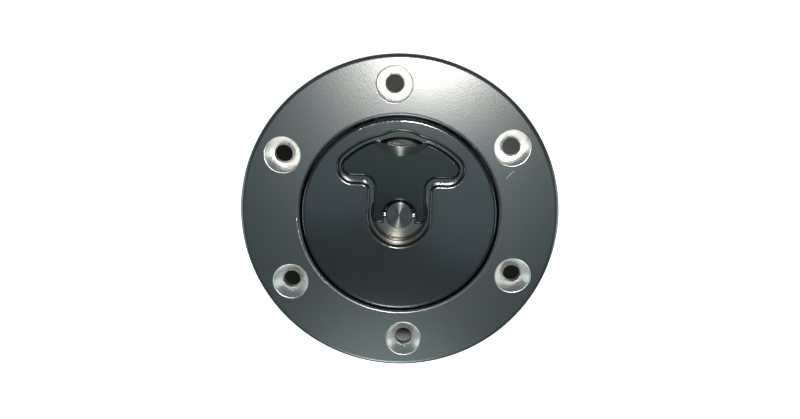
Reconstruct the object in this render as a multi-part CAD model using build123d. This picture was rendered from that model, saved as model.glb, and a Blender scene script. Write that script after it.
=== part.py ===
from build123d import *
import math
import os

# Flush fuel filler cap: a bolted ring with a hose neck, and a turning cap with a flip-up T lever.
# Millimetres. +Z points out of the filler, z = 0 is the flange's underside on the bodywork.
# The lever's hinge pin lies along X and its finger end points to +Y.
# Heights are given as depths below the flush top face.
# The hose neck sets the size across: bar, ledge, seat, cap, lever and flange follow it by their steps.

# ---- hose neck ----
neck_radius = 38.1
neck_wall = 3.1
neck_end_depth = 62.0
neck_rim_round = 0.6
neck_shoulder = 1.0
grip_groove_count = 3
grip_groove_depth = 0.4
grip_groove_width = 1.6
grip_groove_pitch = 4.5
grip_groove_from_end = 4.0
neck_seal_section = 1.4
neck_seal_width = 2.2
neck_seal_depth = 17.0

# ---- mounting ring ----
flange_thickness = 6.0
flange_edge_round = 1.6
flange_foot_round = 0.5
seat_ledge_width = 8.35
seat_depth = 7.0
seat_lip_round = 1.5
ledge_thickness = 5.0
hub_wall = 3.4
hub_depth = 24.0
hub_end_chamfer = 0.8

# ---- six countersunk screw holes ----
screw_count = 6
screw_inset = 11.65
screw_edge_distance = 11.0
screw_hole_radius = 3.3
countersink_radius = 6.65
countersink_angle = 90.0
countersink_edge_round = 0.6
countersink_blend = 0.8
screw_pattern_turn = 3.8

# ---- clearances ----
cap_gap = 0.3
guide_gap = 0.4
seat_gap = 0.3
running_gap = 0.04
loose_gap = 0.25
cam_gap = 0.1
groove_gap = 0.1
lug_gap = 0.3
stop_gap = 0.2
gate_gap = 0.6
notch_gap = 0.7
lobe_gap = 0.74
bar_neck_gap = 3.0
lever_arc_gap = 1.1
lever_wing_gap = 2.3
lever_stem_gap = 1.55
lever_floor_gap = 0.4
wear_washer_gap = 0.6
split_pin_gap = 0.2

# ---- cap body ----
cap_edge_round = 1.5
guide_height = 4.4
boss_wall = 2.5
relief_wall = 3.2
relief_roof = 1.6
skirt_chamfer = 0.5
seal_section = 2.8
seal_squeeze = 0.3
seal_edge_wall = 1.1
seal_flat = 0.2

# ---- T recess in the cap ----
recess_rim_width = 6.35
recess_wing_round = 5.6
recess_inner_round = 3.0
recess_end_bulge = 0.2
recess_lip_round = 1.2

# ---- finger scoop at the lever's free end ----
scoop_reach = 1.1
scoop_radius = 12.0
scoop_blend = 6.0
scoop_shelf_depth = 2.1
scoop_shelf_width = 1.25
scoop_wall_radius = 19.15
scoop_wall_run = 2.15
scoop_depth = 5.0
scoop_floor_round = 1.2
scoop_half_width = 9.0
scoop_length = 11.5

# ---- pocket round the post ----
pocket_depth = 9.4
pocket_edge_round = 0.5
wear_washer_thickness = 0.8

# ---- lever ----
lever_top_depth = 0.4
lever_thickness = 2.6
lever_wing_length = 15.0
lever_wing_round = 3.5
lever_stem_half = 9.8
lever_inner_round = 4.0
lever_rear = 3.1
lever_rear_round = 2.0
lever_edge_round = 1.1
lever_nick_radius = 23.5
lever_nick_depth = 3.5
lever_nick_round = 0.8
lever_dish_radius = 36.0
lever_dish_outline = 14.5
lever_dish_length = 3.4
lobe_width = 2.7
lobe_front = 3.8
lobe_toe_angle = 20.0
cam_steps = 6

# ---- spindle, pin and cam ----
post_radius = 5.1
post_top_depth = 1.5
post_edge_round = 0.4
pin_radius = 1.25
pin_depth = 3.8
cam_drop = 1.6
flip_angle = 90.0
flat_step = 0.1
thread_radius = 4.0
thread_end_round = 0.8
thread_protrusion = 0.9

# ---- spindle bush, seal and keyed retainer ----
bush_wall = 1.9
bush_length = 3.6
spindle_seal_width = 2.0
key_length = 1.6

# ---- spring ----
spring_seat_thickness = 0.8
spring_seat_radius = 9.6
spring_length = 9.0
spring_wire_radius = 0.6
spring_wire_facets = 8
spring_radius = 7.4
spring_turns = 4.0

# ---- locking bar, nut and split pin ----
bar_thickness = 3.5
bar_width = 14.0
bar_flat_half = 12.0
bar_pad_length = 10.0
bar_bend_round = 4.0
bar_washer_radius = 8.5
bar_washer_thickness = 1.2
lug_hook = 3.0
nut_across_flats = 13.0
nut_height = 6.5
nut_chamfer = 0.9
nut_crown_height = 2.6
nut_crown_step = 0.7
nut_slot_count = 3
split_pin_radius = 0.8
split_pin_eye = 1.5
split_pin_eye_wire = 0.56
split_pin_leg = 4.0
split_pin_leg_wire = 0.48
split_pin_leg_offset = 1.7
split_pin_leg_bend = 12.0
stop_pin_radius = 1.5
stop_pin_inset = 2.0
stop_pin_drop = 5.0
stop_pin_press = 3.0

# ---- radii worked out from the neck ----
neck_bore_radius = neck_radius - neck_wall
spigot_radius = neck_radius - neck_shoulder
bar_reach = neck_bore_radius - bar_neck_gap
bar_end_start = bar_reach - bar_pad_length
gate_radius = bar_reach + gate_gap
ledge_radius = bar_reach - lug_hook
stop_pin_circle = ledge_radius + stop_pin_inset
guide_radius = ledge_radius - guide_gap
seat_radius = ledge_radius + seat_ledge_width
cap_radius = seat_radius - cap_gap
hub_radius = max(neck_radius, seat_radius) + hub_wall
screw_circle_radius = seat_radius + screw_inset
flange_radius = screw_circle_radius + screw_edge_distance
seal_groove_outer = cap_radius - seal_edge_wall
seal_groove_inner = seal_groove_outer - seal_section - 2 * groove_gap
recess_arc_radius = cap_radius - recess_rim_width

# ---- lever, recess and scoop worked out from each other ----
lever_arc_radius = recess_arc_radius - lever_arc_gap
lever_wing_edge = lever_arc_radius - lever_wing_length
lever_nick_edge = lever_arc_radius - lever_nick_depth
lever_dish_edge = lever_nick_edge - lever_dish_length
recess_depth = lever_top_depth + lever_thickness + lever_floor_gap
recess_wing_edge = lever_wing_edge - lever_wing_gap
recess_stem_half = lever_stem_half + lever_stem_gap
recess_end_radius = recess_stem_half + recess_end_bulge
scoop_center = recess_arc_radius + scoop_reach - scoop_radius
scoop_wall_edge = scoop_center + scoop_radius - scoop_shelf_width
scoop_floor_edge = scoop_wall_edge - scoop_wall_run
scoop_floor_radius = scoop_wall_radius - scoop_wall_run

# ---- depths of the stack on the spindle, from the pocket down ----
ledge_bottom = seat_depth + ledge_thickness
cap_thickness = seat_depth - seat_gap
guide_bottom = cap_thickness + guide_height
seal_groove_depth = seal_section - seal_squeeze - seat_gap
countersink_depth = (countersink_radius - screw_hole_radius) / math.tan(math.radians(countersink_angle / 2))
wear_top = pocket_depth - wear_washer_thickness
cam_height = wear_top - pin_depth
cam_rate = cam_drop / math.radians(flip_angle)
bush_bottom = pocket_depth + bush_length
spindle_seal_bottom = bush_bottom + groove_gap + spindle_seal_width
retainer_top = spindle_seal_bottom + groove_gap
post_bottom = retainer_top + groove_gap
key_top = post_bottom + cam_drop + loose_gap
boss_depth = key_top + key_length
spring_top = boss_depth + spring_seat_thickness
spring_bottom = spring_top + spring_length
bar_top = spring_bottom + spring_seat_thickness
bar_bottom = bar_top + bar_thickness
lug_top = ledge_bottom + lug_gap
nut_top = bar_bottom + bar_washer_thickness
nut_crown_top = nut_top + nut_height
nut_bottom = nut_crown_top + nut_crown_height
spindle_end = nut_bottom + thread_protrusion

# ---- radii round the spindle ----
flat_half = thread_radius + flat_step
bush_radius = post_radius + bush_wall
notch_radius = post_radius + notch_gap
lobe_outer = notch_radius + lobe_width
pocket_radius = math.hypot(lobe_outer, cam_height) + lobe_gap
wear_washer_radius = pocket_radius - wear_washer_gap
boss_radius = pocket_radius + boss_wall
nut_crown_radius = nut_across_flats / 2 - nut_crown_step
nut_slot_width = 2 * (split_pin_radius + split_pin_gap)

OVERCUT = 1.0
SLIVER = 0.1
TOLERANCE = 0.01


def level(depth):
    """Height of a depth below the flush top face."""
    return flange_thickness - depth


def outline(points):
    """Closed section in the XZ plane from (radius, depth) points."""
    corners = [(radius, level(depth)) for radius, depth in points]
    return make_face(Polyline(*corners, close=True))


def soften(face, corners):
    """Round the section's corners nearest to each (radius, depth, round) entry."""
    for radius, depth, amount in corners:
        corner = face.vertices().sort_by_distance((radius, level(depth), 0))[0]
        face = fillet(corner, amount)
    return face


def bevel(face, corners):
    """Chamfer the section's corners nearest to each (radius, depth, amount) entry."""
    for radius, depth, amount in corners:
        corner = face.vertices().sort_by_distance((radius, level(depth), 0))[0]
        face = chamfer(corner, amount)
    return face


def turned(face):
    """Body of revolution about Z of a section in the XZ plane."""
    return revolve(Plane.XZ * face, Axis.Z)


def disc(radius, top, bottom):
    """Solid cylinder about Z between two depths."""
    return Pos(0, 0, level(bottom)) * extrude(Circle(radius), bottom - top)


def washer(outer, inner, top, bottom):
    """Flat ring about Z between two depths."""
    return Pos(0, 0, level(bottom)) * extrude(Circle(outer) - Circle(inner), bottom - top)


def slab(sketch, top, bottom):
    """Flat sketch extruded between two depths."""
    return Pos(0, 0, level(bottom)) * extrude(sketch, bottom - top)


def seal_ring(inner, outer, top, bottom):
    """Squeezed O-ring: a ring with a rounded section."""
    corner = (min(outer - inner, bottom - top) - seal_flat) / 2
    section = outline([(inner, top), (outer, top), (outer, bottom), (inner, bottom)])
    return turned(fillet(section.vertices(), corner))


def keyed_section(radius, flat):
    """Round section with two flats facing +Y and -Y."""
    return Circle(radius) & Rectangle(4 * radius, 2 * flat)


def edges_at(part, depth):
    """Edges that lie in the plane at one depth."""
    return part.edges().filter_by_position(Axis.Z, level(depth) - TOLERANCE, level(depth) + TOLERANCE)


def lip_edges(part, limit):
    """Edges in the top face that stay within a limit in X and Y."""
    return [edge for edge in edges_at(part, 0)
            if max(edge.bounding_box().max.X, edge.bounding_box().max.Y) < limit]


# ---- ring body ----

def make_mounting_ring():
    groove_top = neck_seal_depth - neck_seal_width / 2 - groove_gap
    groove_bottom = neck_seal_depth + neck_seal_width / 2 + groove_gap
    groove_radius = spigot_radius + neck_seal_section
    section = outline([
        (seat_radius, 0), (flange_radius, 0), (flange_radius, flange_thickness),
        (hub_radius, flange_thickness), (hub_radius, hub_depth), (spigot_radius, hub_depth),
        (spigot_radius, groove_bottom), (groove_radius, groove_bottom),
        (groove_radius, groove_top), (spigot_radius, groove_top),
        (spigot_radius, ledge_bottom), (ledge_radius, ledge_bottom),
        (ledge_radius, seat_depth), (seat_radius, seat_depth)])
    section = soften(section, [
        (seat_radius, 0, seat_lip_round), (flange_radius, 0, flange_edge_round),
        (flange_radius, flange_thickness, flange_foot_round)])
    ring = turned(bevel(section, [(hub_radius, hub_depth, hub_end_chamfer)]))
    mouth_radius = countersink_radius + countersink_edge_round
    hole = soften(outline([
        (0, -OVERCUT), (mouth_radius, -OVERCUT), (mouth_radius, 0), (countersink_radius, 0),
        (screw_hole_radius, countersink_depth), (screw_hole_radius, flange_thickness + OVERCUT),
        (0, flange_thickness + OVERCUT)]), [
        (countersink_radius, 0, countersink_edge_round),
        (screw_hole_radius, countersink_depth, countersink_blend)])
    ring -= PolarLocations(screw_circle_radius, screw_count, 90 + screw_pattern_turn) * turned(hole)
    gate = Rectangle(bar_width + 2 * gate_gap, 4 * gate_radius) & Circle(gate_radius)
    ring -= slab(gate, seat_depth - SLIVER, ledge_bottom + SLIVER)
    for place in stop_pin_places():
        ring -= place * disc(stop_pin_radius, ledge_bottom - stop_pin_press, ledge_bottom + SLIVER)
    return ring


def stop_pin_places():
    """One pin behind a lug at rest, one ahead of it after a quarter turn."""
    offset = bar_width / 2 + stop_gap + stop_pin_radius
    angle = math.degrees(math.asin(offset / stop_pin_circle))
    return [Rot(0, 0, turn) * Pos(stop_pin_circle, 0, 0) for turn in (-angle, 90 + angle)]


def make_lug_stop_pins():
    top = ledge_bottom - stop_pin_press
    pins = [place * disc(stop_pin_radius, top, ledge_bottom + stop_pin_drop) for place in stop_pin_places()]
    return Compound([pin.solid() for pin in pins])


def make_filler_neck():
    """Tube with a spigot up in the ring's hub, and grip grooves for a clamped hose at its end."""
    section = outline([
        (neck_bore_radius, ledge_bottom), (spigot_radius, ledge_bottom), (spigot_radius, hub_depth),
        (neck_radius, hub_depth), (neck_radius, neck_end_depth), (neck_bore_radius, neck_end_depth)])
    neck = turned(soften(section, [
        (neck_radius, neck_end_depth, neck_rim_round), (neck_bore_radius, neck_end_depth, neck_rim_round)]))
    for step in range(grip_groove_count):
        bottom = neck_end_depth - grip_groove_from_end - step * grip_groove_pitch
        floor_radius = neck_radius - grip_groove_depth
        neck -= washer(neck_radius + OVERCUT, floor_radius, bottom - grip_groove_width, bottom)
    return neck


def make_neck_seal():
    top = neck_seal_depth - neck_seal_width / 2
    return seal_ring(spigot_radius, spigot_radius + neck_seal_section, top, top + neck_seal_width)


# ---- cap body ----

def t_outline(arc, wing_edge, wing_round, stem_half, inner_round, stem_end):
    """T shape: a circular head segment on a straight stem that reaches down to stem_end."""
    head = Circle(arc) & Pos(0, wing_edge + arc) * Rectangle(4 * arc, 2 * arc)
    head = fillet(head.vertices(), wing_round)
    stem_top = wing_edge + 2 * inner_round
    stem = Pos(0, (stem_top + stem_end) / 2) * Rectangle(2 * stem_half, stem_top - stem_end)
    shape = head + stem
    corners = shape.vertices().filter_by_position(Axis.Y, wing_edge - TOLERANCE, wing_edge + TOLERANCE)
    corners = corners.filter_by_position(Axis.X, -stem_half - TOLERANCE, stem_half + TOLERANCE)
    return fillet(corners, inner_round)


def recess_outline():
    shape = t_outline(recess_arc_radius, recess_wing_edge, recess_wing_round,
                      recess_stem_half, recess_inner_round, 0)
    return shape + Circle(recess_end_radius)


def scooped_outline():
    """Recess outline with the scoop's bulge blended into the head's arc."""
    bulge = Pos(0, scoop_center) * Circle(scoop_radius)
    shape = recess_outline() + bulge
    cross_y = (recess_arc_radius ** 2 - scoop_radius ** 2 + scoop_center ** 2) / (2 * scoop_center)
    joints = shape.vertices().filter_by_position(Axis.Y, cross_y - TOLERANCE, cross_y + TOLERANCE)
    return fillet(joints, scoop_blend)


def make_cap_body():
    groove_roof = cap_thickness - seal_groove_depth
    section = outline([
        (0, 0), (cap_radius, 0), (cap_radius, cap_thickness),
        (seal_groove_outer, cap_thickness), (seal_groove_outer, groove_roof),
        (seal_groove_inner, groove_roof), (seal_groove_inner, cap_thickness),
        (guide_radius, cap_thickness), (guide_radius, guide_bottom),
        (guide_radius - relief_wall, guide_bottom), (guide_radius - relief_wall, scoop_depth + relief_roof),
        (boss_radius, scoop_depth + relief_roof), (boss_radius, boss_depth), (0, boss_depth)])
    section = bevel(soften(section, [(cap_radius, 0, cap_edge_round)]), [
        (guide_radius, guide_bottom, skirt_chamfer), (boss_radius, boss_depth, skirt_chamfer)])
    body = turned(section)
    body -= slab(scooped_outline(), -OVERCUT, scoop_shelf_depth)
    body -= slab(recess_outline(), 0, recess_depth)
    dish = soften(outline([
        (0, 0), (scoop_wall_radius, 0), (scoop_wall_radius, scoop_shelf_depth),
        (scoop_floor_radius, scoop_depth), (0, scoop_depth)]),
        [(scoop_floor_radius, scoop_depth, scoop_floor_round)])
    reach = Pos(0, scoop_floor_edge) * Rectangle(2 * scoop_half_width, 2 * scoop_length)
    body -= Pos(0, scoop_wall_edge - scoop_wall_radius, 0) * turned(dish) & slab(reach, 0, scoop_depth)
    mouth_radius = pocket_radius + 2 * pocket_edge_round
    pocket = soften(outline([
        (0, 0), (mouth_radius, 0), (mouth_radius, recess_depth), (pocket_radius, recess_depth),
        (pocket_radius, pocket_depth), (0, pocket_depth)]),
        [(pocket_radius, recess_depth, pocket_edge_round)])
    body -= turned(pocket)
    body -= disc(bush_radius, pocket_depth - SLIVER, boss_depth + OVERCUT)
    return fillet(lip_edges(body, cap_radius - cap_edge_round - OVERCUT), recess_lip_round)


def make_cap_seal():
    inner = seal_groove_inner + groove_gap
    top = cap_thickness - seal_groove_depth
    return seal_ring(inner, inner + seal_section, top, seat_depth)


def make_wear_washer():
    return washer(wear_washer_radius, post_radius + loose_gap, wear_top, pocket_depth)


def make_spindle_bush():
    return washer(bush_radius, post_radius + running_gap, pocket_depth, bush_bottom)


def make_spindle_seal():
    top = bush_bottom + groove_gap
    return seal_ring(post_radius + running_gap, bush_radius, top, top + spindle_seal_width)


def make_keyed_retainer():
    """Holds the seal up, and keeps the spindle from turning in the cap by its two flats."""
    bore = post_radius + running_gap
    key = keyed_section(bore, flat_half + running_gap)
    collar = washer(bush_radius, bore, retainer_top, key_top)
    return collar + slab(Circle(bush_radius) - key, key_top, boss_depth)


def make_upper_spring_seat():
    return washer(spring_seat_radius, post_radius + loose_gap, boss_depth, spring_top)


# ---- spindle body ----

def make_spindle():
    shaft = turned(soften(outline([
        (0, post_top_depth), (post_radius, post_top_depth), (post_radius, post_bottom), (0, post_bottom)]),
        [(post_radius, post_top_depth, post_edge_round)]))
    keyed = slab(keyed_section(post_radius, flat_half), post_bottom, bar_bottom - lug_gap)
    thread = turned(soften(outline([
        (0, bar_bottom - lug_gap), (thread_radius, bar_bottom - lug_gap),
        (thread_radius, spindle_end), (0, spindle_end)]),
        [(thread_radius, spindle_end, thread_end_round)]))
    pin_hole = Pos(0, 0, level(pin_depth)) * Rot(0, 90, 0) * Cylinder(pin_radius, 4 * post_radius)
    return shaft + keyed + thread - pin_hole - split_pin_hole()


def split_pin_center():
    return level(nut_bottom - nut_crown_height / 2)


def split_pin_hole():
    return Pos(0, 0, split_pin_center()) * Rot(90, 0, 0) * Cylinder(split_pin_radius, 4 * thread_radius)


def make_hinge_pin():
    return Pos(0, 0, level(pin_depth)) * Rot(0, 90, 0) * Cylinder(pin_radius, 2 * lobe_outer)


def make_return_spring():
    """Coil that pushes the locking bar away from the cap."""
    rise = spring_length - 2 * spring_wire_radius
    path = Helix(rise / spring_turns, rise, spring_radius)
    wire = Plane(path @ 0, z_dir=path % 0) * RegularPolygon(spring_wire_radius, spring_wire_facets)
    coil = sweep(wire, path=path, is_frenet=True)
    return Pos(0, 0, level(spring_bottom - spring_wire_radius)) * coil


def make_lower_spring_seat():
    hole = keyed_section(post_radius + loose_gap, flat_half + loose_gap)
    return slab(Circle(spring_seat_radius) - hole, spring_bottom, bar_top)


def make_locking_bar():
    """Cranked strip: low in the middle, with its two ends up under the ring's ledge."""
    top = [(-bar_reach - OVERCUT, lug_top), (-bar_end_start, lug_top), (-bar_flat_half, bar_top),
           (bar_flat_half, bar_top), (bar_end_start, lug_top), (bar_reach + OVERCUT, lug_top)]
    bend = math.atan2(bar_top - lug_top, bar_end_start - bar_flat_half)
    shift = bar_thickness * math.tan(bend / 2)
    lug_bottom = lug_top + bar_thickness
    bottom = [(bar_reach + OVERCUT, lug_bottom), (bar_end_start + shift, lug_bottom),
              (bar_flat_half + shift, bar_bottom), (-bar_flat_half - shift, bar_bottom),
              (-bar_end_start - shift, lug_bottom), (-bar_reach - OVERCUT, lug_bottom)]
    section = outline(top + bottom)
    inner = bar_bend_round
    outer = bar_bend_round + bar_thickness
    rounds = []
    for side in (-1, 1):
        rounds.append((side * bar_end_start, lug_top, outer))
        rounds.append((side * bar_flat_half, bar_top, inner))
        rounds.append((side * (bar_end_start + shift), lug_bottom, inner))
        rounds.append((side * (bar_flat_half + shift), bar_bottom, outer))
    section = soften(section, rounds)
    bar = extrude(Plane.XZ * section, bar_width / 2, both=True)
    bar &= disc(bar_reach, lug_top - OVERCUT, bar_bottom + OVERCUT)
    hole = keyed_section(post_radius + running_gap, flat_half + running_gap)
    return bar - slab(hole, bar_top - OVERCUT, bar_bottom + OVERCUT)


def make_bar_washer():
    return washer(bar_washer_radius, thread_radius + loose_gap, bar_bottom, nut_top)


def make_castle_nut():
    corner_radius = nut_across_flats / math.sqrt(3)
    cone = bevel(outline([
        (0, nut_top), (corner_radius, nut_top), (corner_radius, nut_crown_top), (0, nut_crown_top)]), [
        (corner_radius, nut_top, nut_chamfer), (corner_radius, nut_crown_top, nut_chamfer)])
    hexagon = RegularPolygon(nut_across_flats / 2, 6, major_radius=False)
    body = slab(hexagon, nut_top, nut_crown_top) & turned(cone)
    crown = disc(nut_crown_radius, nut_crown_top, nut_bottom)
    slot = slab(Rectangle(4 * nut_crown_radius, nut_slot_width), nut_crown_top, nut_bottom + OVERCUT)
    for step in range(nut_slot_count):
        crown -= Rot(0, 0, 180 * (step + 0.5) / nut_slot_count) * slot
    return body + crown - disc(thread_radius, nut_top - OVERCUT, nut_bottom + OVERCUT)


def make_split_pin():
    """Shank through the nut's slots along Y, with an eye on one side and two spread legs on the other."""
    reach = nut_crown_radius + split_pin_radius
    eye = Pos(0, reach + split_pin_eye, 0) * Rot(0, 90, 0) * Torus(split_pin_eye, split_pin_eye_wire)
    pin = Rot(90, 0, 0) * Cylinder(split_pin_radius, 2 * reach) + eye
    for side in (-1, 1):
        leg = Rot(0, 90, side * split_pin_leg_bend) * Cylinder(split_pin_leg_wire, split_pin_leg)
        pin += Pos(side * split_pin_leg_offset, -reach, 0) * leg
    return Pos(0, 0, split_pin_center()) * pin


# ---- lever body ----

def cam_point(angle):
    """Point of the lobe's cam face whose normal is turned by angle from straight down to the rear."""
    reach = cam_height - cam_gap - cam_rate * angle
    y = -reach * math.sin(angle) + cam_rate * math.cos(angle)
    z = -reach * math.cos(angle) - cam_rate * math.sin(angle)
    return (y, z)


def make_lobe_section():
    """Side view of a cam lobe about the pin axis; its reach falls steadily as the lever flips up."""
    reach = cam_height - cam_gap
    roof = pin_depth - lever_top_depth - lever_thickness / 2
    step_angle = math.radians(flip_angle) / cam_steps
    face_points = [cam_point(step * step_angle) for step in range(cam_steps + 1)]
    cam = Spline(*face_points, tangents=[(-1, 0), (0, 1)])
    front_low = (lobe_front, -math.sqrt(reach ** 2 - (lobe_front - cam_rate) ** 2))
    toe_angle = math.radians(lobe_toe_angle)
    toe_middle = (cam_rate + reach * math.sin(toe_angle), -reach * math.cos(toe_angle))
    toe = ThreePointArc(face_points[0], toe_middle, front_low)
    rear = Polyline(face_points[-1], (face_points[-1][0], roof), (lobe_front, roof), front_low)
    return make_face(cam + toe + rear)


def lever_outline():
    rear = -lever_rear
    shape = t_outline(lever_arc_radius, lever_wing_edge, lever_wing_round,
                      lever_stem_half, lever_inner_round, rear)
    corners = shape.vertices().filter_by_position(Axis.Y, rear - TOLERANCE, rear + TOLERANCE)
    shape = fillet(corners, lever_rear_round)
    shape -= Circle(notch_radius)
    shape -= Pos(0, rear) * Rectangle(2 * notch_radius, 2 * lever_rear)
    shape -= Pos(0, lever_nick_edge + lever_nick_radius) * Circle(lever_nick_radius)
    tips = shape.vertices().sort_by(Axis.Y)[-2:]
    return fillet(tips, lever_nick_round)


def make_flip_lever():
    top = lever_top_depth
    plate = slab(lever_outline(), top, top + lever_thickness)
    plate = fillet(edges_at(plate, top), lever_edge_round)
    lift = math.sqrt(lever_dish_radius ** 2 - lever_dish_outline ** 2)
    plate -= Pos(0, lever_dish_edge + lever_dish_outline, level(top) + lift) * Sphere(lever_dish_radius)
    lobe = extrude(make_lobe_section(), lobe_outer - notch_radius)
    for start in (notch_radius, -lobe_outer):
        plate += Pos(start, 0, level(pin_depth)) * Plane.YZ.location * lobe
    hole = Pos(0, 0, level(pin_depth)) * Rot(0, 90, 0) * Cylinder(pin_radius + running_gap, 4 * lobe_outer)
    return plate - hole


NODES = {
    "mounting_ring": make_mounting_ring,
    "filler_neck": make_filler_neck,
    "neck_seal": make_neck_seal,
    "lug_stop_pins": make_lug_stop_pins,
    "cap_body": make_cap_body,
    "cap_seal": make_cap_seal,
    "wear_washer": make_wear_washer,
    "spindle_bush": make_spindle_bush,
    "spindle_seal": make_spindle_seal,
    "keyed_retainer": make_keyed_retainer,
    "upper_spring_seat": make_upper_spring_seat,
    "spindle": make_spindle,
    "hinge_pin": make_hinge_pin,
    "return_spring": make_return_spring,
    "lower_spring_seat": make_lower_spring_seat,
    "locking_bar": make_locking_bar,
    "bar_washer": make_bar_washer,
    "castle_nut": make_castle_nut,
    "split_pin": make_split_pin,
    "flip_lever": make_flip_lever,
}

os.makedirs("parts", exist_ok=True)
for name, make in NODES.items():
    export_step(make(), f"parts/{name}.step")
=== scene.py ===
import math

import bpy
from mathutils import Matrix, Vector


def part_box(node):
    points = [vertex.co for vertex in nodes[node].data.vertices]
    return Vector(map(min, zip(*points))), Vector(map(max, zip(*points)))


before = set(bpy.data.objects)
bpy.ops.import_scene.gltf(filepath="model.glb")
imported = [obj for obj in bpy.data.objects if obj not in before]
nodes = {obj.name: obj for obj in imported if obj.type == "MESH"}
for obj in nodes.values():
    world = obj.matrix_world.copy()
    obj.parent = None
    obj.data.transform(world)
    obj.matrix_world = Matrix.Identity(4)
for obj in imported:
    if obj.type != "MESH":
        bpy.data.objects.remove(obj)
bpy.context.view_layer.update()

MM = 0.001

# ---- heights taken from the frame ----
_, ring_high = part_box("mounting_ring")
neck_low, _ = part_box("filler_neck")
bar_low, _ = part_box("locking_bar")
TOP_Z = ring_high.z
FLOOR_Z = neck_low.z

# ---- screw holes of the ring, as in its source: SCREW_RADIUS is that of the circle that they lie on ----
SCREW_RADIUS = 49.0 * MM
SCREW_COUNT = 6
SCREW_STEP = 2 * math.pi / SCREW_COUNT
SCREW_TURN = math.radians(93.8)
COUNTERSINK_REACH = 7.4 * MM

# ---- camera: its place over the flush face, and how the object lies in the picture ----
PICTURE_WIDTH = 800
FOCAL_PIXELS = 761.0
SENSOR_WIDTH = 36.0
NEAREST_VIEW = 1 * MM
FARTHEST_VIEW = 20
CAMERA_OVER_FACE = Vector((6.5, 64.2, 278.7)) * MM
CAMERA_TILT = math.radians(12.47)
CAMERA_PAN = math.radians(-1.23)
OBJECT_TURN = math.radians(2.2)

# ---- lamps over the face ----
LAMP_HEIGHT = 300 * MM
SIDE_LAMP_REACH = 360 * MM
SIDE_LAMP_Y = -50 * MM
SIDE_LAMP_HEIGHT = 60 * MM
WARM_LIGHT = (1.0, 0.915, 0.85)
SOFT_LIGHT = (0.87, 1.0, 0.97)
SIDE_LIGHT = (0.9, 1.0, 0.98)
SKY_LIGHT = (0.75, 0.965, 1.0)
SKY_STRENGTH = 0.25

# ---- floor ----
FLOOR_SHADE = 0.9
FLOOR_REACH = 3.0

# ---- painted shadow on the part of the floor that only the screw holes show to the camera: dark,
#      a little paler towards the upper right, and paler again under the lowest hole ----
PAINTED_SHADOW_CENTRE = Vector((-1.4, -14.3, 0)) * MM
PAINTED_SHADOW_RADIUS = 64 * MM
PAINTED_SHADOW_END = 72 * MM
PAINTED_SHADOW_DARK = 0.006
PAINTED_SHADOW_PALE = 0.05
PAINTED_SHADOW_FADE_WAY = (0.6, 0.8, 0)
PAINTED_SHADOW_FADE_REACH = 45 * MM
PAINTED_SHADOW_LOW_HOLE_PALE = 0.15
PAINTED_SHADOW_LOW_WAY = (0, -1, 0)
PAINTED_SHADOW_LOW_START = 69 * MM
PAINTED_SHADOW_LOW_END = 76 * MM

# ---- a face whose normal has at least this z is level ----
LEVEL_NORMAL_Z = 0.999

# ---- machined hollows in the cap and the lever ----
POCKET_TOP = TOP_Z - 1.5 * MM
POCKET_REACH = 13.0 * MM
SCOOP_TOP = TOP_Z - 0.5 * MM
SCOOP_CENTRE = Vector((0, 19.8, 0)) * MM
SCOOP_START = 22.0 * MM
SCOOP_HALF_WIDTH = 9.5 * MM

# ---- a right angle, in whole turns, as the shader counts it ----
RIGHT_ANGLE = 0.25

# ---- soft patches in a finish: how fine they are, and the range of the noise that they use ----
PATCH_DETAIL = 3.0
PATCH_LOW = 0.3
PATCH_HIGH = 0.7

# ---- the ring's blasted grain, and the hair scratch on it ----
GRAIN_SIZE = 0.48 * MM
GRAIN_HEIGHT = 0.019 * MM
SCRATCH_START = Vector((38.9, 15.5, 0)) * MM
SCRATCH_WAY = Vector((0.67, 0.74, 0)).normalized()
SCRATCH_SIDE = Vector((-SCRATCH_WAY.y, SCRATCH_WAY.x, 0))
SCRATCH_LENGTH = 5.0 * MM
SCRATCH_TAPER_START = 0.3 * SCRATCH_LENGTH
SCRATCH_WIDTH = 0.2 * MM

# ---- thread of the post, shown as a bump ----
THREAD_PITCH = 1.25 * MM
THREAD_DEPTH = 0.4 * MM
THREAD_RIDGE = THREAD_PITCH / 2
THREAD_FADE = THREAD_PITCH / 4

# ---- colours ----
RING_COLOUR = (0.138, 0.150, 0.153)
CAP_COLOUR = (0.083, 0.092, 0.094)
LEVER_COLOUR = (0.041, 0.051, 0.0505)
POCKET_COLOUR = (0.17, 0.175, 0.16)
SCOOP_COLOUR = (0.12, 0.13, 0.125)
BARE_COLOUR = (0.57, 0.58, 0.57)
NECK_COLOUR = (0.46, 0.47, 0.47)
POST_COLOUR = (0.13, 0.14, 0.138)
STEEL_COLOUR = (0.46, 0.46, 0.45)
WASHER_COLOUR = (0.24, 0.24, 0.225)
SPRING_COLOUR = (0.25, 0.25, 0.25)
BRONZE_COLOUR = (0.36, 0.27, 0.16)
RUBBER_COLOUR = (0.024, 0.024, 0.025)
BLACK = (0.0, 0.0, 0.0)
WHITE = (1.0, 1.0, 1.0)


def over_face(point):
    """Where a point over the flush face is in the frame; its x and y are square to the picture."""
    return Matrix.Rotation(OBJECT_TURN, 4, "Z") @ Vector(point) + Vector((0, 0, TOP_Z))


# ---- camera, lamps and world ----

def make_camera():
    camera = bpy.data.objects.new("camera", bpy.data.cameras.new("camera"))
    bpy.context.scene.collection.objects.link(camera)
    camera.data.sensor_width = SENSOR_WIDTH
    camera.data.lens = FOCAL_PIXELS / PICTURE_WIDTH * SENSOR_WIDTH
    camera.data.clip_start = NEAREST_VIEW
    camera.data.clip_end = FARTHEST_VIEW
    place = Matrix.Translation(over_face(CAMERA_OVER_FACE))
    turn = Matrix.Rotation(OBJECT_TURN, 4, "Z")
    tilt = Matrix.Rotation(-CAMERA_TILT, 4, "X") @ Matrix.Rotation(-CAMERA_PAN, 4, "Y")
    camera.matrix_world = place @ turn @ tilt
    bpy.context.scene.camera = camera


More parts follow.
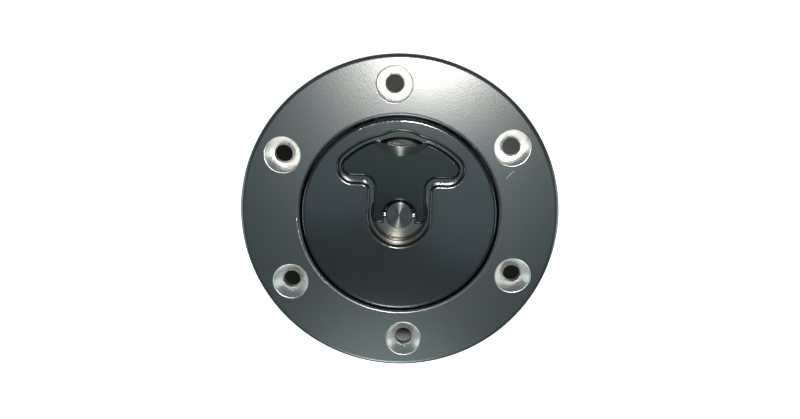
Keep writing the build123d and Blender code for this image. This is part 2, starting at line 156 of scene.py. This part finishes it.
def area_light(name, place, size, power, colour):
    """A disk light at a place over the face, pointing at the face's middle."""
    lamp = bpy.data.lights.new(name, "AREA")
    lamp.shape = "DISK"
    lamp.size = size
    lamp.energy = power
    lamp.color = colour
    light = bpy.data.objects.new(name, lamp)
    bpy.context.scene.collection.objects.link(light)
    start = over_face(place)
    aim = (over_face((0, 0, 0)) - start).to_track_quat("-Z", "Y")
    light.matrix_world = Matrix.Translation(start) @ aim.to_matrix().to_4x4()


def make_lights():
    """A small warm key by the camera, soft lamps beyond the lever's foot, and weak ones at the sides."""
    key = (15 * MM, 77 * MM, LAMP_HEIGHT)
    fill = (-21 * MM, -230 * MM, LAMP_HEIGHT)
    low = (-43 * MM, -436 * MM, LAMP_HEIGHT)
    left = (-60 * MM, -15 * MM, LAMP_HEIGHT)
    right = (55 * MM, -45 * MM, LAMP_HEIGHT)
    area_light("key_light", key, size=40 * MM, power=0.60, colour=WARM_LIGHT)
    area_light("fill_light", fill, size=140 * MM, power=0.073, colour=SOFT_LIGHT)
    area_light("low_light", low, size=140 * MM, power=0.7, colour=SOFT_LIGHT)
    area_light("left_fill", left, size=120 * MM, power=0.0176, colour=SKY_LIGHT)
    area_light("right_fill", right, size=120 * MM, power=0.0198, colour=SKY_LIGHT)
    for name, side in (("left_side_light", -1), ("right_side_light", 1)):
        place = (side * SIDE_LAMP_REACH, SIDE_LAMP_Y, SIDE_LAMP_HEIGHT)
        area_light(name, place, size=200 * MM, power=0.20, colour=SIDE_LIGHT)


def make_world():
    """White to the camera, and a soft cool light for everything else."""
    world = bpy.data.worlds.new("studio")
    bpy.context.scene.world = world
    world.use_nodes = True
    tree = world.node_tree
    tree.nodes.clear()
    out = tree.nodes.new("ShaderNodeOutputWorld")
    mix = tree.nodes.new("ShaderNodeMixShader")
    path = tree.nodes.new("ShaderNodeLightPath")
    tree.links.new(path.outputs["Is Camera Ray"], mix.inputs[0])
    skies = ((mix.inputs[1], SKY_LIGHT, SKY_STRENGTH), (mix.inputs[2], WHITE, 1.0))
    for socket, colour, strength in skies:
        background = tree.nodes.new("ShaderNodeBackground")
        background.inputs["Color"].default_value = (*colour, 1)
        background.inputs["Strength"].default_value = strength
        tree.links.new(background.outputs[0], socket)
    tree.links.new(mix.outputs[0], out.inputs[0])


# ---- how a material is put together ----

class Finish:
    """A material: its tree, its Principled shader, and short ways to add nodes to it."""

    def __init__(self, name, colour, roughness, metallic=1.0):
        self.material = bpy.data.materials.new(name)
        self.material.use_nodes = True
        self.tree = self.material.node_tree
        self.shader = self.tree.nodes["Principled BSDF"]
        self.colour = colour
        self.shader.inputs["Base Color"].default_value = (*colour, 1)
        self.shader.inputs["Roughness"].default_value = roughness
        self.shader.inputs["Metallic"].default_value = metallic
        self.place = self.tree.nodes.new("ShaderNodeTexCoord").outputs["Object"]
        self.normal = None

    def feed(self, socket, value):
        """Puts a number, a vector or another node's output into a socket."""
        if isinstance(value, bpy.types.NodeSocket):
            self.tree.links.new(value, socket)
        else:
            socket.default_value = value

    def math(self, operation, first, second=0.0, third=0.0):
        node = self.tree.nodes.new("ShaderNodeMath")
        node.operation = operation
        for socket, value in zip(node.inputs, (first, second, third)):
            self.feed(socket, value)
        return node.outputs[0]

    def vector(self, operation, first, second=(0, 0, 0), result="Vector"):
        node = self.tree.nodes.new("ShaderNodeVectorMath")
        node.operation = operation
        for socket, value in zip(node.inputs, (first, second)):
            self.feed(socket, value)
        return node.outputs[result]

    def measure(self, operation, first, second=(0, 0, 0)):
        """Vector maths whose result is a number, such as a length."""
        return self.vector(operation, first, second, result="Value")

    def split(self, vector):
        node = self.tree.nodes.new("ShaderNodeSeparateXYZ")
        self.feed(node.inputs[0], vector)
        return node.outputs[0], node.outputs[1], node.outputs[2]

    def join(self, x, y, z):
        node = self.tree.nodes.new("ShaderNodeCombineXYZ")
        for socket, value in zip(node.inputs, (x, y, z)):
            self.feed(socket, value)
        return node.outputs[0]

    def noise(self, size, detail, place=None):
        """Noise from 0 to 1, with features about size across."""
        node = self.tree.nodes.new("ShaderNodeTexNoise")
        self.feed(node.inputs["Vector"], place or self.place)
        node.inputs["Scale"].default_value = 1 / size
        node.inputs["Detail"].default_value = detail
        return node.outputs["Fac"]

    def ramp(self, value, low, high, start, end):
        """start below low, end above high, and a smooth step between."""
        node = self.tree.nodes.new("ShaderNodeMapRange")
        node.interpolation_type = "SMOOTHSTEP"
        for socket, number in zip(node.inputs, (value, low, high, start, end)):
            self.feed(socket, number)
        return node.outputs["Result"]

    def patches(self, size, detail, start, end):
        """Soft patches about size across, from start to end."""
        return self.ramp(self.noise(size, detail), PATCH_LOW, PATCH_HIGH, start, end)

    def blend_colour(self, factor, first, second):
        """first where factor is 0, second where it is 1; either is a colour or another node's output."""
        node = self.tree.nodes.new("ShaderNodeMix")
        node.data_type = "RGBA"
        self.feed(node.inputs[0], factor)
        for socket, value in zip(node.inputs[6:8], (first, second)):
            self.feed(socket, (*value, 1) if isinstance(value, tuple) else value)
        return node.outputs[2]

    def bump(self, height, distance):
        """Adds to the bumps made so far; distance is how high a full step stands."""
        node = self.tree.nodes.new("ShaderNodeBump")
        node.inputs["Distance"].default_value = distance
        self.feed(node.inputs["Height"], height)
        if self.normal:
            self.feed(node.inputs["Normal"], self.normal)
        self.normal = node.outputs[0]
        self.feed(self.shader.inputs["Normal"], self.normal)

    def mottle(self, size, amount, detail=PATCH_DETAIL):
        """Slight light and dark patches in the colour."""
        darker = tuple(channel * (1 - amount) for channel in self.colour)
        lighter = tuple(channel * (1 + amount) for channel in self.colour)
        colour = self.blend_colour(self.patches(size, detail, 0.0, 1.0), darker, lighter)
        self.feed(self.shader.inputs["Base Color"], colour)
        return colour

    def vary_roughness(self, size, low, high):
        self.feed(self.shader.inputs["Roughness"], self.patches(size, PATCH_DETAIL, low, high))

    def radius(self):
        """Distance from the part's axis."""
        x, y, _ = self.split(self.place)
        return self.measure("LENGTH", self.join(x, y, 0.0))

    def turned_lines(self, pitch, height, across):
        """Fine lines left by a lathe tool, uneven in depth; across is a number that grows across them."""
        self.bump(self.noise(pitch, 1.0, self.join(across, 0.0, 0.0)), height)

    def stretch_reflections(self, amount, across=None):
        """Draws reflections out at right angles to across, or to rings round the part's axis."""
        self.shader.inputs["Anisotropic"].default_value = amount
        self.shader.inputs["Anisotropic Rotation"].default_value = RIGHT_ANGLE
        if across is None:
            node = self.tree.nodes.new("ShaderNodeTangent")
            node.direction_type = "RADIAL"
            node.axis = "Z"
            across = node.outputs[0]
        self.feed(self.shader.inputs["Tangent"], across)


# ---- finishes ----

def make_ring_finish():
    """Bead-blasted and anodised, with a fine sparkling grain and one hair scratch down to bare metal."""
    finish = Finish("ring_anodised", RING_COLOUR, roughness=0.289)
    colour = finish.mottle(size=11 * MM, amount=0.01)
    finish.bump(finish.noise(GRAIN_SIZE, detail=1.0), GRAIN_HEIGHT)
    from_start = finish.vector("SUBTRACT", finish.place, SCRATCH_START)
    reach = finish.measure("DOT_PRODUCT", from_start, SCRATCH_WAY)
    aside = finish.measure("DOT_PRODUCT", from_start, SCRATCH_SIDE)
    from_middle = finish.math("ABSOLUTE", finish.math("SUBTRACT", reach, SCRATCH_LENGTH / 2))
    ends = finish.ramp(from_middle, SCRATCH_TAPER_START, SCRATCH_LENGTH / 2, 1.0, 0.0)
    line = finish.ramp(finish.math("ABSOLUTE", aside), 0.0, SCRATCH_WIDTH, 1.0, 0.0)
    scratched = finish.blend_colour(finish.math("MULTIPLY", ends, line), colour, BARE_COLOUR)
    finish.feed(finish.shader.inputs["Base Color"], scratched)
    return finish.material


def from_nearest_screw(finish):
    """The level vector from the axis of the nearest screw hole."""
    x, y, _ = finish.split(finish.place)
    angle = finish.math("SUBTRACT", finish.math("ARCTAN2", y, x), SCREW_TURN)
    angle = finish.math("SNAP", finish.math("ADD", angle, SCREW_STEP / 2), SCREW_STEP)
    angle = finish.math("ADD", angle, SCREW_TURN)
    screw_x = finish.math("MULTIPLY", finish.math("COSINE", angle), SCREW_RADIUS)
    screw_y = finish.math("MULTIPLY", finish.math("SINE", angle), SCREW_RADIUS)
    return finish.join(finish.math("SUBTRACT", x, screw_x), finish.math("SUBTRACT", y, screw_y), 0.0)


def make_countersink_finish():
    """Cut through the anodising: bare and bright, with reflections drawn out round the hole."""
    finish = Finish("countersink_bare", BARE_COLOUR, roughness=0.33)
    away = from_nearest_screw(finish)
    finish.stretch_reflections(0.8, across=finish.vector("NORMALIZE", away))
    finish.mottle(size=3 * MM, amount=0.03, detail=1.0)
    finish.turned_lines(pitch=0.5 * MM, height=0.003 * MM, across=finish.measure("LENGTH", away))
    return finish.material


def make_satin_finish(name, colour):
    """Machined and dark anodised."""
    finish = Finish(name, colour, roughness=0.2)
    finish.mottle(size=9 * MM, amount=0.01, detail=1.0)
    finish.vary_roughness(size=4 * MM, low=0.195, high=0.205)
    finish.bump(finish.noise(size=0.5 * MM, detail=1.0), distance=0.0006 * MM)
    return finish.material


def make_turned_finish(name, colour, centre=(0, 0, 0)):
    """A machined hollow in a dark anodised piece, with the tool's rings round centre."""
    finish = Finish(name, colour, roughness=0.3)
    away = finish.vector("MULTIPLY", finish.vector("SUBTRACT", finish.place, centre), (1, 1, 0))
    round_centre = finish.vector("NORMALIZE", finish.vector("CROSS_PRODUCT", (0, 0, 1), away))
    finish.stretch_reflections(0.8, across=round_centre)
    finish.mottle(size=3 * MM, amount=0.03, detail=1.0)
    finish.turned_lines(pitch=0.4 * MM, height=0.003 * MM, across=finish.measure("LENGTH", away))
    return finish.material


def make_neck_finish():
    """Bare turned aluminium."""
    finish = Finish("neck_aluminium", NECK_COLOUR, roughness=0.34)
    finish.stretch_reflections(0.6)
    finish.mottle(size=9 * MM, amount=0.04)
    _, _, up = finish.split(finish.place)
    finish.turned_lines(pitch=0.35 * MM, height=0.008 * MM, across=up)
    return finish.material


def make_post_finish():
    """Darkened steel with a turned face, and a thread below the locking bar."""
    finish = Finish("post_steel", POST_COLOUR, roughness=0.22)
    finish.stretch_reflections(0.95)
    finish.mottle(size=3 * MM, amount=0.05)
    finish.turned_lines(pitch=0.3 * MM, height=0.002 * MM, across=finish.radius())
    _, _, up = finish.split(finish.place)
    ridges = finish.math("DIVIDE", finish.math("PINGPONG", up, THREAD_RIDGE), THREAD_RIDGE)
    below_bar = finish.ramp(up, bar_low.z - THREAD_FADE, bar_low.z, 1.0, 0.0)
    finish.bump(finish.math("MULTIPLY", ridges, below_bar), THREAD_DEPTH)
    return finish.material


def make_steel_finish(name, colour, low, high):
    """Plain metal whose roughness goes from low to high in patches."""
    finish = Finish(name, colour, (low + high) / 2)
    finish.mottle(size=3 * MM, amount=0.06)
    finish.vary_roughness(1.5 * MM, low, high)
    finish.bump(finish.noise(size=0.5 * MM, detail=2.0), distance=0.002 * MM)
    return finish.material


def make_washer_finish():
    """Bright steel, turned on its face."""
    finish = Finish("washer_steel", WASHER_COLOUR, roughness=0.26)
    finish.stretch_reflections(0.85)
    finish.mottle(size=2 * MM, amount=0.06)
    finish.turned_lines(pitch=0.25 * MM, height=0.004 * MM, across=finish.radius())
    return finish.material


def make_rubber_finish():
    """Matt black rubber."""
    finish = Finish("seal_rubber", RUBBER_COLOUR, roughness=0.6, metallic=0.0)
    finish.mottle(size=2 * MM, amount=0.15)
    finish.vary_roughness(size=1 * MM, low=0.52, high=0.68)
    finish.bump(finish.noise(size=0.2 * MM, detail=2.0), distance=0.004 * MM)
    return finish.material


# ---- which faces of a piece have a finish of their own ----

def in_a_screw_hole(face):
    """Is the face of the ring part of a countersink or a screw hole?"""
    turn = math.atan2(face.center.y, face.center.x) - SCREW_TURN
    angle = round(turn / SCREW_STEP) * SCREW_STEP + SCREW_TURN
    axis = Vector((math.cos(angle), math.sin(angle))) * SCREW_RADIUS
    return abs(face.normal.z) < LEVEL_NORMAL_Z and (face.center.xy - axis).length < COUNTERSINK_REACH


def in_the_pocket(face):
    """Is the face of the cap part of the pocket round the post?"""
    return face.center.z < POCKET_TOP and face.center.xy.length < POCKET_REACH


def in_the_scoop(face):
    """Is the face part of the finger scoop, in the cap or in the lever?"""
    x, y, z = face.center
    within = z < SCOOP_TOP and abs(x) < SCOOP_HALF_WIDTH and y > SCOOP_START
    return within and face.normal.z < LEVEL_NORMAL_Z


# ---- dressing the pieces ----

def dress(names, material):
    """Gives the material to every face of the named nodes."""
    for name in names:
        nodes[name].data.materials.clear()
        nodes[name].data.materials.append(material)


def dress_faces(name, material, belongs):
    """Gives the material to the faces of a node for which belongs(face) is true."""
    mesh = nodes[name].data
    mesh.materials.append(material)
    slot = len(mesh.materials) - 1
    for face in mesh.polygons:
        if belongs(face):
            face.material_index = slot


def dress_pieces():
    """Steel for every node, and then the others' own finishes over it."""
    dress(nodes, make_steel_finish("steel", STEEL_COLOUR, low=0.22, high=0.34))
    dress(["mounting_ring"], make_ring_finish())
    dress(["cap_body"], make_satin_finish("cap_anodised", CAP_COLOUR))
    dress(["flip_lever"], make_satin_finish("lever_anodised", LEVER_COLOUR))
    dress(["filler_neck"], make_neck_finish())
    dress(["spindle"], make_post_finish())
    dress(["wear_washer"], make_washer_finish())
    spring_steel = make_steel_finish("spring_steel", SPRING_COLOUR, low=0.26, high=0.38)
    dress(["return_spring", "locking_bar"], spring_steel)
    dress(["spindle_bush"], make_steel_finish("bush_bronze", BRONZE_COLOUR, low=0.28, high=0.38))
    dress(["cap_seal", "neck_seal", "spindle_seal"], make_rubber_finish())
    dress_faces("mounting_ring", make_countersink_finish(), in_a_screw_hole)
    dress_faces("cap_body", make_turned_finish("pocket_turned", POCKET_COLOUR), in_the_pocket)
    scoop = make_turned_finish("scoop_turned", SCOOP_COLOUR, SCOOP_CENTRE)
    for name in ("cap_body", "flip_lever"):
        dress_faces(name, scoop, in_the_scoop)


# ---- floor ----

def make_floor_material():
    """White to the camera by a glow of its own, which hides the object's shadow from the camera, and a
    painted
    shadow: dark where only the screw holes show it in the camera's first view, in its colour and its
    glow."""
    floor = Finish("floor", (FLOOR_SHADE,) * 3, roughness=1.0, metallic=0.0)
    floor.shader.inputs["Specular IOR Level"].default_value = 0.0
    # painted shadow under the ring: dark, paler towards the upper right and again under the lowest hole
    shadow_fade_along = floor.measure("DOT_PRODUCT", floor.place, PAINTED_SHADOW_FADE_WAY)
    painted_shadow_fade = floor.ramp(shadow_fade_along, 0.0, PAINTED_SHADOW_FADE_REACH, PAINTED_SHADOW_DARK, PAINTED_SHADOW_PALE)
    shadow_low_along = floor.measure("DOT_PRODUCT", floor.place, PAINTED_SHADOW_LOW_WAY)
    painted_shadow = floor.ramp(shadow_low_along, PAINTED_SHADOW_LOW_START, PAINTED_SHADOW_LOW_END, painted_shadow_fade, PAINTED_SHADOW_LOW_HOLE_PALE)
    centre = over_face(PAINTED_SHADOW_CENTRE)
    away = floor.measure("DISTANCE", floor.place, (centre.x, centre.y, 0))
    # the painted shadow inside its radius, the plain white floor outside it
    shade = floor.ramp(away, PAINTED_SHADOW_RADIUS, PAINTED_SHADOW_END, painted_shadow, 1.0)
    floor.feed(floor.shader.inputs["Base Color"], floor.blend_colour(shade, BLACK, floor.colour))
    path = floor.tree.nodes.new("ShaderNodeLightPath")
    floor.shader.inputs["Emission Color"].default_value = (*WHITE, 1)
    # the glow that the camera sees is dimmed by the same painted shadow
    glow = floor.math("MULTIPLY", path.outputs["Is Camera Ray"], shade)
    floor.feed(floor.shader.inputs["Emission Strength"], glow)
    return floor.material


def make_floor():
    mesh = bpy.data.meshes.new("floor")
    corners = [(x * FLOOR_REACH, y * FLOOR_REACH, 0) for x, y in ((-1, -1), (1, -1), (1, 1), (-1, 1))]
    mesh.from_pydata(corners, [], [(0, 1, 2, 3)])
    mesh.materials.append(make_floor_material())
    floor = bpy.data.objects.new("floor", mesh)
    floor.location.z = FLOOR_Z
    bpy.context.scene.collection.objects.link(floor)


make_camera()
make_lights()
make_world()
make_floor()
dress_pieces()

bpy.context.scene.view_settings.view_transform = "Standard"
